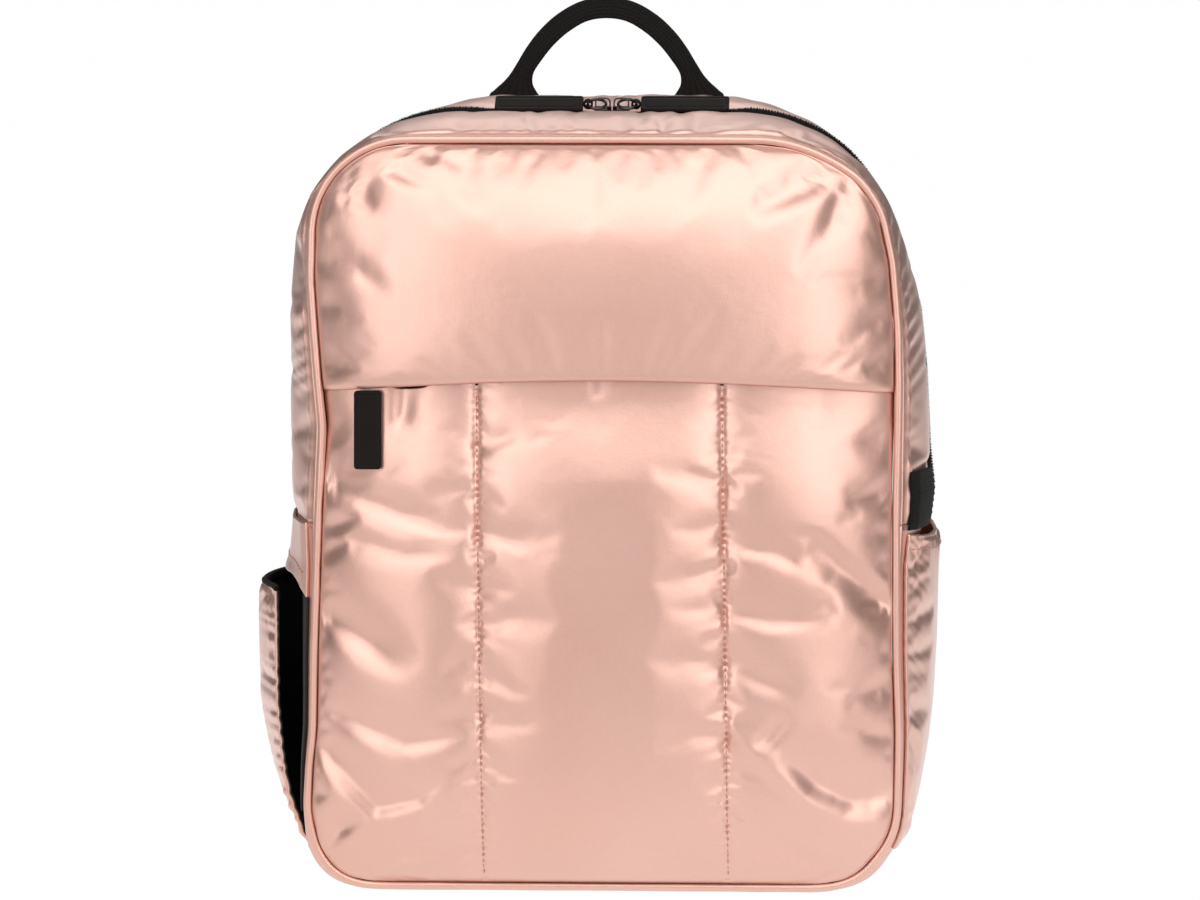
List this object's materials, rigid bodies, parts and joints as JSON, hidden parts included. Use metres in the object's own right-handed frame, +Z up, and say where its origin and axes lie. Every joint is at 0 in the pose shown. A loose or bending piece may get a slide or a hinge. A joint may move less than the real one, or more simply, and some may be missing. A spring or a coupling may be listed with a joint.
{
  "type": "laptop backpack",
  "caption": "Padded satin laptop backpack with a front zip pocket under a flap, side pockets, a grab handle and padded shoulder straps.",
  "frame": {"origin": "centre of the flat base, where the bag stands", "axes": "+Z up the bag, +X to the right seen from the front, and the front faces -Y"},
  "size_m": [0.3532, 0.2095, 0.4555],
  "materials": {
    "satin": "satin with a metallic rose sheen",
    "satin_trim": "satin with a metallic rose sheen",
    "webbing": "matt woven webbing",
    "zip_black": "matt woven tape",
    "tab_black": "smooth satin",
    "dark_metal": "polished black",
    "buckle_black": "fine matt"
  },
  "bodies": {
    "root": {"gusset_lower": "satin", "gusset_front": "satin", "gusset_back": "satin", "front_flap_panel": "satin", "front_pocket_panel": "satin", "back_panel": "satin", "side_pocket_right": "satin", "side_pocket_left": "satin", "side_pocket_left_yoke": "satin", "shoulder_strap_left": "satin", "shoulder_strap_right": "satin", "piping_front": "satin_trim", "piping_back": "satin_trim", "strap_anchor_left": "satin_trim", "strap_anchor_right": "satin_trim", "side_loop": "webbing", "grab_handle": "webbing", "strap_loop_left": "webbing", "strap_loop_right": "webbing", "strap_web_left": "webbing", "strap_web_right": "webbing", "main_zip_tape": "zip_black", "pocket_zip_tape": "zip_black", "side_pocket_left_lining": "zip_black", "main_tab_left": "tab_black", "main_tab_right": "tab_black", "pocket_tab": "tab_black", "main_slider_left": "dark_metal", "main_slider_right": "dark_metal", "main_ring_left": "dark_metal", "main_ring_right": "dark_metal", "pocket_slider": "dark_metal", "strap_buckle_left": "buckle_black", "strap_buckle_right": "buckle_black"}
  },
  "joints": []
}
